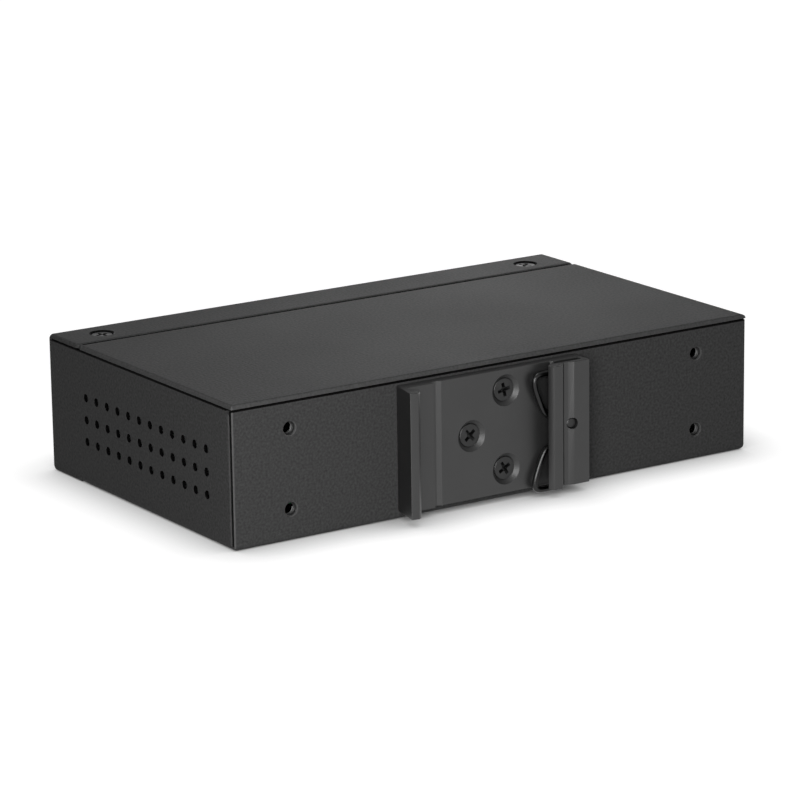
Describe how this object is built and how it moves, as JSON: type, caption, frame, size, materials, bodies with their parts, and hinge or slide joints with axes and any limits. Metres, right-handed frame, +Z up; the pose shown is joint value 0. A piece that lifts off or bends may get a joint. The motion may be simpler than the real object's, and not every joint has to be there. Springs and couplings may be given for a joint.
{
  "type": "industrial media converter",
  "caption": "Black sheet-steel media converter box with a rail clip on its back, a vented end, copper and fibre ports and a screw terminal.",
  "frame": {"origin": "centre of the case's bottom face", "axes": "+X along the length from the vented end to the power end, +Y from the rail clip's wall to the front panel with the ports, +Z up from the bottom face to the lid"},
  "size_m": [0.1267, 0.0771, 0.028],
  "materials": {
    "case_paint": "fine-textured matte black powder coat",
    "clip_metal": "dark grey anodised extrusion",
    "spring_wire": "bright spring steel wire",
    "pin_steel": "dark oiled steel",
    "screw_steel": "blackened steel",
    "plated_steel": "bright zinc plate",
    "board_laminate": "green solder mask",
    "port_shield": "tin-plated sheet",
    "port_plastic": "black moulded plastic",
    "contact_metal": "gold-plated contact",
    "terminal_plastic": "green moulded plastic",
    "lamp_lens": "diffused clear lens",
    "chip_plastic": "black moulding compound",
    "crystal_can": "nickel-plated can",
    "capacitor_sleeve": "shrunk plastic sleeve",
    "inductor_core": "grey ferrite"
  },
  "bodies": {
    "root": {"case_tray": "case_paint", "lid": "case_paint", "front_panel": "case_paint", "panel_screws": "screw_steel", "din_clip": "clip_metal", "clip_spring": "spring_wire", "clip_pin": "pin_steel", "clip_screws": "screw_steel", "circuit_board": "board_laminate", "board_standoffs": "plated_steel", "board_screws": "plated_steel", "copper_shield": "port_shield", "copper_housing": "port_plastic", "copper_contacts": "contact_metal", "fibre_cage": "port_shield", "fibre_connector": "port_plastic", "terminal_header": "terminal_plastic", "terminal_pins": "plated_steel", "terminal_plug": "terminal_plastic", "terminal_clamps": "plated_steel", "terminal_screws": "plated_steel", "lamps": "lamp_lens", "lamp_holders": "port_plastic", "earth_screw": "plated_steel", "earth_washer": "plated_steel", "port_magnetics": "chip_plastic", "switch_chip": "chip_plastic", "clock_crystal": "crystal_can", "memory_chip": "chip_plastic", "converter_chip": "chip_plastic", "power_inductors": "inductor_core", "surge_diodes": "chip_plastic", "bulk_capacitors": "capacitor_sleeve"}
  },
  "joints": []
}
